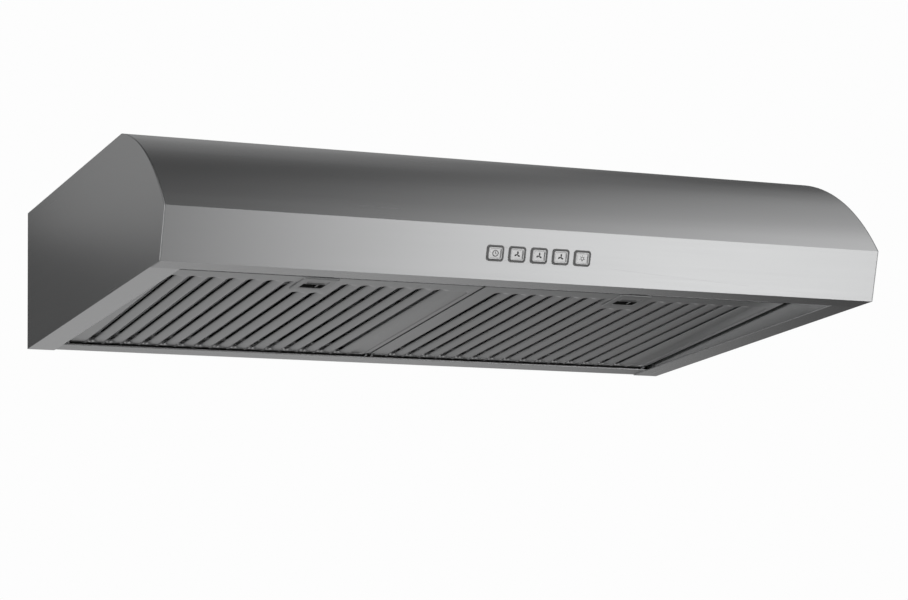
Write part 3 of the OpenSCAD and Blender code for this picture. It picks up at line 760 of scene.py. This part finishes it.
def screw_head(bm, x, y, z, radius, height=1.2, out=-1):
    """Pan head standing off a face at z."""
    profile = ((radius, 0.0), (radius, 0.4), (0.86 * radius, 0.8), (0.6 * radius, 1.0))
    capped_stack(bm, [(circle(r, 24, x, y), z + out * height * h) for r, h in profile])


def millimetres(node):
    low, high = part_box(node)
    return low / MM, high / MM


def inlet_guard(materials):
    """Chromed wires across the bell mouth."""
    low, high = millimetres("inlet_guard")
    middle_y, radius = (low.y + high.y) / 2, (high.z - low.z) / 2
    reach, pitch, z = (high.y - low.y) / 2, 16.0, low.z + radius
    bm = bmesh.new()
    for index in range(-4, 5):
        x = index * pitch
        half = math.sqrt(reach * reach - x * x)
        rod(bm, (x, middle_y - half, z), (x, middle_y + half, z), radius)
    wires = piece("guard_wires", bm, "hood", materials["wire_chrome"])
    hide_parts("inlet_guard")


def motor_details(materials):
    """Rolled seam beads, and a ring of small ribs on the motor's lower cap."""
    low, high = millimetres("motor")
    x, y = (low.x + high.x) / 2, (low.y + high.y) / 2
    bm = bmesh.new()
    seam_radius, ribs = 41.9, 16
    rib = [(24, -1.1), (33, -1.6), (33, 1.6), (24, 1.1)]
    for z in (low.z + 4.5, low.z + 18.0):
        bead(bm, seam_radius, z, 2.2, 0.7, x, y)
    for index in range(ribs):
        outline = turned(rib, 2 * math.pi * index / ribs)
        spot = [(x + px, y + py) for px, py in outline]
        capped_stack(bm, [(spot, low.z + 0.1), (spot, low.z - 0.35)])
    piece("motor_beads", bm, "hood", materials["motor_paint"])


def capacitor_details(materials):
    """Two flat terminals."""
    low, high = millimetres("capacitor")
    y = (low.y + high.y) / 2
    bm = bmesh.new()
    for x in (low.x + 12.0, high.x - 12.0):
        block(bm, (x - 3.1, y - 0.4, low.z - 8.0), (x + 3.1, y + 0.4, low.z + 0.2), 0.3)
    piece("capacitor_tabs", bm, "hood", materials["zinc_screw"])


def terminal_details(materials):
    """Screws of the terminal block's four ways, and the walls between them."""
    low, high = millimetres("terminal_block")
    y, pitch = (low.y + high.y) / 2, 11.0
    bm = bmesh.new()
    for way in range(4):
        screw_head(bm, low.x + 6.5 + pitch * way, y, low.z + 4.0, 2.0)
    piece("terminal_screws", bm, "hood", materials["zinc_screw"])
    bm = bmesh.new()
    for way in range(3):
        x = low.x + 12.0 + pitch * way
        block(bm, (x - 0.6, low.y + 0.5, low.z - 1.6), (x + 0.6, high.y - 0.5, low.z + 0.2), 0.3)
    piece("terminal_walls", bm, "hood", materials["white_plastic"])


def gland_details(materials):
    """Grip ribs on the gland's dome nut."""
    low, high = millimetres("cable_gland")
    x, y = (low.x + high.x) / 2, (low.y + high.y) / 2
    bm = bmesh.new()
    ribs, foot, top = 18, (10.9, 5.2), (9.2, 11.6)  # foot and top: radius and height
    for index in range(ribs):
        angle = 2 * math.pi * index / ribs
        c, s = math.cos(angle), math.sin(angle)
        start = (x + foot[0] * c, y + foot[0] * s, foot[1])
        rod(bm, start, (x + top[0] * c, y + top[0] * s, top[1]), 0.55, 8)
    piece("gland_ribs", bm, "hood", materials["black_plastic"])


def collar_details(materials):
    """Two stiffening beads round the duct collar."""
    low, high = millimetres("exhaust_collar")
    x, y = (low.x + high.x) / 2, (low.y + high.y) / 2
    bm = bmesh.new()
    for z in (24.0, 33.0):
        bead(bm, 74.4, z, 2.4, 0.9, x, y)
    piece("collar_beads", bm, "hood", materials["duct_plastic"])


def board_details(materials):
    """Small parts on the back of the control board."""
    space = fascia_space(0.0)
    bm = bmesh.new()
    for x in (-12.0, -2.0, 8.0, 58.0):
        block(bm, (x - 3.0, 4.0, -17.0), (x + 3.0, 9.0, -15.2), 0.5)
    piece("board_chips", bm, "hood", materials["black_plastic"], space)
    bm = bmesh.new()
    for index in range(9):
        x = -46.0 + 10.5 * index
        rod(bm, (x - 2.4, -11.5, -16.0), (x + 2.4, -11.5, -16.0), 0.8, 10)
    piece("board_resistors", bm, "hood", materials["white_plastic"], space)


def driver_details(materials):
    """Blank plate on the lamp driver."""
    low, high = millimetres("lamp_driver")
    bm = bmesh.new()
    block(bm, (low.x + 14, low.y + 7, low.z - 0.25), (high.x - 14, high.y - 7, low.z + 0.1), 0.9)
    piece("driver_plate", bm, "hood", materials["zinc_screw"])


def lamp_details(side, materials):
    """Ring of diodes under the lens, seen through its frosting."""
    low, high = millimetres(f"{side}_lamp_lens")
    middle = (low + high) / 2
    space = Matrix.Translation(middle * MM) @ Matrix.Rotation(-FILTER_TILT, 4, "X")
    bm = bmesh.new()
    count, ring_radius = 12, 15.0
    for index in range(count):
        angle = 2 * math.pi * index / count
        x, y = ring_radius * math.cos(angle), ring_radius * math.sin(angle)
        block(bm, (x - 1.4, y - 1.4, 1.6), (x + 1.4, y + 1.4, 2.6), 0.4)
    piece(f"{side}_lamp_diodes", bm, "hood", materials["lamp_alloy"], space)


def make_hidden_parts(materials):
    inlet_guard(materials)
    motor_details(materials)
    capacitor_details(materials)
    terminal_details(materials)
    gland_details(materials)
    collar_details(materials)
    board_details(materials)
    driver_details(materials)
    for side in SIDES:
        lamp_details(side, materials)


# ---------- CAD nodes that are kept ----------

# Large flat sheets with small holes: bevelled hole edges would draw lines from hole to hole.
PLAIN_SHEETS = ("top_panel",)


def finish_cad_nodes(materials):
    edge = {"stainless": 0.5 * MM, "filter_steel": 0.15 * MM, "latch_steel": 0.2 * MM}
    side_brushed = {"left_side_panel", "right_side_panel", "left_side_rail", "right_side_rail"}
    for name, obj in NODES.items():
        slot = node_slot(name)
        material = materials["stainless_side"] if name in side_brushed else materials[slot]
        obj.data.materials.clear()
        obj.data.materials.append(material)
        if name in PLAIN_SHEETS:
            continue
        weld = obj.modifiers.new("weld", "WELD")
        weld.merge_threshold = 1e-6
        round_edges(obj, edge.get(slot, 0.25 * MM))


# ---------- camera, floor and light ----------

def make_camera():
    data = bpy.data.cameras.new("camera")
    data.lens = CAMERA_LENS
    data.sensor_width = SENSOR_WIDTH
    data.clip_end = 50.0
    camera = bpy.data.objects.new("camera", data)
    turn = Matrix.Rotation(CAMERA_YAW, 4, "Z")
    turn = turn @ Matrix.Rotation(math.pi / 2 + CAMERA_PITCH, 4, "X")
    turn = turn @ Matrix.Rotation(CAMERA_ROLL, 4, "Z")
    camera.matrix_world = Matrix.Translation(CAMERA_PLACE) @ turn
    bpy.context.collection.objects.link(camera)
    bpy.context.scene.camera = camera


def seen_by_camera(nodes, links, shown, unseen, output):
    """Gives the camera one shader and every other ray another."""
    path = nodes.new("ShaderNodeLightPath")
    mix = nodes.new("ShaderNodeMixShader")
    links.new(path.outputs["Is Camera Ray"], mix.inputs["Fac"])
    links.new(unseen, mix.inputs[1])
    links.new(shown, mix.inputs[2])
    links.new(mix.outputs["Shader"], output)


def make_floor():
    """Pale floor that only the camera sees, and only from above."""
    bm = bmesh.new()
    bmesh.ops.create_grid(bm, x_segments=8, y_segments=8, size=FLOOR_HALF)
    mesh = bpy.data.meshes.new("floor")
    bm.to_mesh(mesh)
    bm.free()
    floor = bpy.data.objects.new("floor", mesh)
    floor.location.z = CAD_BOX[0][2] - FLOOR_DROP
    bpy.context.collection.objects.link(floor)
    tree = Tree("pale_floor")
    pale = tree.nodes.new("ShaderNodeEmission")
    pale.inputs["Color"].default_value = (*grey(FLOOR_GREY), 1.0)
    clear = tree.nodes.new("ShaderNodeBsdfTransparent")
    one_sided = tree.nodes.new("ShaderNodeMixShader")
    geometry = tree.nodes.new("ShaderNodeNewGeometry")
    tree.link(geometry.outputs["Backfacing"], one_sided.inputs["Fac"])
    tree.link(pale.outputs["Emission"], one_sided.inputs[1])
    tree.link(clear.outputs["BSDF"], one_sided.inputs[2])
    seen_by_camera(tree.nodes, tree.links, one_sided.outputs["Shader"], clear.outputs["BSDF"],
                   tree.nodes["Material Output"].inputs["Surface"])
    mesh.materials.append(tree.material)


# Soft light from all round: direction, where its edge starts and ends as the cosine
# of the angle from that direction, and strength.
ROOM_LIGHT = 0.065
SOFT_LIGHTS = (
    ((0.83, -0.50, 0.24), 0.57, 0.70, 0.42),
    ((0.88, 0.02, 0.47), 0.70, 0.87, 0.43),
    ((0.465, -0.78, -0.41), 0.978, 0.998, 1.30),
    ((0.18, 0.96, -0.20), 0.935, 0.985, 0.35),
    ((0.22, 0.86, 0.40), 0.96, 0.99, 0.26),
    ((0.24, 0.68, 0.68), 0.96, 0.995, 0.17),
    ((0.40, 0.90, 0.04), 0.975, 0.998, 0.40),
    ((-0.50, 0.85, 0.15), 0.93, 1.00, 0.05),
    ((0.52, -0.83, 0.22), 0.965, 0.995, 0.80),
    ((0.52, -0.28, -0.81), 0.90, 0.98, 0.40),
    ((-0.60, -0.50, 0.60), 0.55, 0.85, 0.55),
    ((-0.15, 0.45, -0.88), 0.88, 0.97, 0.45),
    ((-0.75, 0.50, -0.40), 0.78, 0.95, 0.45),
    ((-0.65, -0.60, -0.40), 0.72, 0.92, 0.45),
)


def make_world():
    """Plain pale backdrop for the camera; for all other rays, a dim room with the soft lights."""
    world = bpy.data.worlds.new("studio")
    bpy.context.scene.world = world
    world.use_nodes = True
    nodes, links = world.node_tree.nodes, world.node_tree.links
    direction = nodes.new("ShaderNodeTexCoord").outputs["Generated"]
    total = None
    for aim, outer, inner, strength in SOFT_LIGHTS:
        dot = nodes.new("ShaderNodeVectorMath")
        dot.operation = "DOT_PRODUCT"
        dot.inputs[1].default_value = Vector(aim).normalized()
        links.new(direction, dot.inputs[0])
        glow = nodes.new("ShaderNodeMapRange")
        glow.interpolation_type = "SMOOTHSTEP"
        glow.inputs["From Min"].default_value = outer
        glow.inputs["From Max"].default_value = inner
        glow.inputs["To Max"].default_value = strength
        links.new(dot.outputs["Value"], glow.inputs["Value"])
        sum_node = nodes.new("ShaderNodeMath")
        sum_node.inputs[1].default_value = ROOM_LIGHT
        links.new(glow.outputs["Result"], sum_node.inputs[0])
        if total:
            links.new(total, sum_node.inputs[1])
        total = sum_node.outputs[0]
    room = nodes.new("ShaderNodeBackground")
    links.new(total, room.inputs["Strength"])
    room.inputs["Color"].default_value = (1.0, 1.0, 1.0, 1.0)
    backdrop = nodes["Background"]
    backdrop.inputs["Color"].default_value = (*grey(BACKDROP_GREY), 1.0)
    seen_by_camera(nodes, links, backdrop.outputs["Background"], room.outputs["Background"],
                   nodes["World Output"].inputs["Surface"])


def softbox(name, place, aim, size, watts):
    data = bpy.data.lights.new(name, "AREA")
    data.shape = "RECTANGLE"
    data.size, data.size_y = size
    data.energy = watts
    light = bpy.data.objects.new(name, data)
    light.location = place
    light.rotation_euler = (Vector(aim) - Vector(place)).to_track_quat("-Z", "Y").to_euler()
    bpy.context.collection.objects.link(light)


def make_light():
    make_world()
    softbox("side_card", (-0.99, 0.95, 0.52), (-0.99, 0.0, 0.52), (0.8, 0.75), 0.42)


make_camera()
bpy.context.scene.view_settings.view_transform = "Standard"
MATERIALS = make_materials()
finish_cad_nodes(MATERIALS)
make_filters(MATERIALS)
make_controls(MATERIALS)
make_hidden_parts(MATERIALS)
make_floor()
make_light()
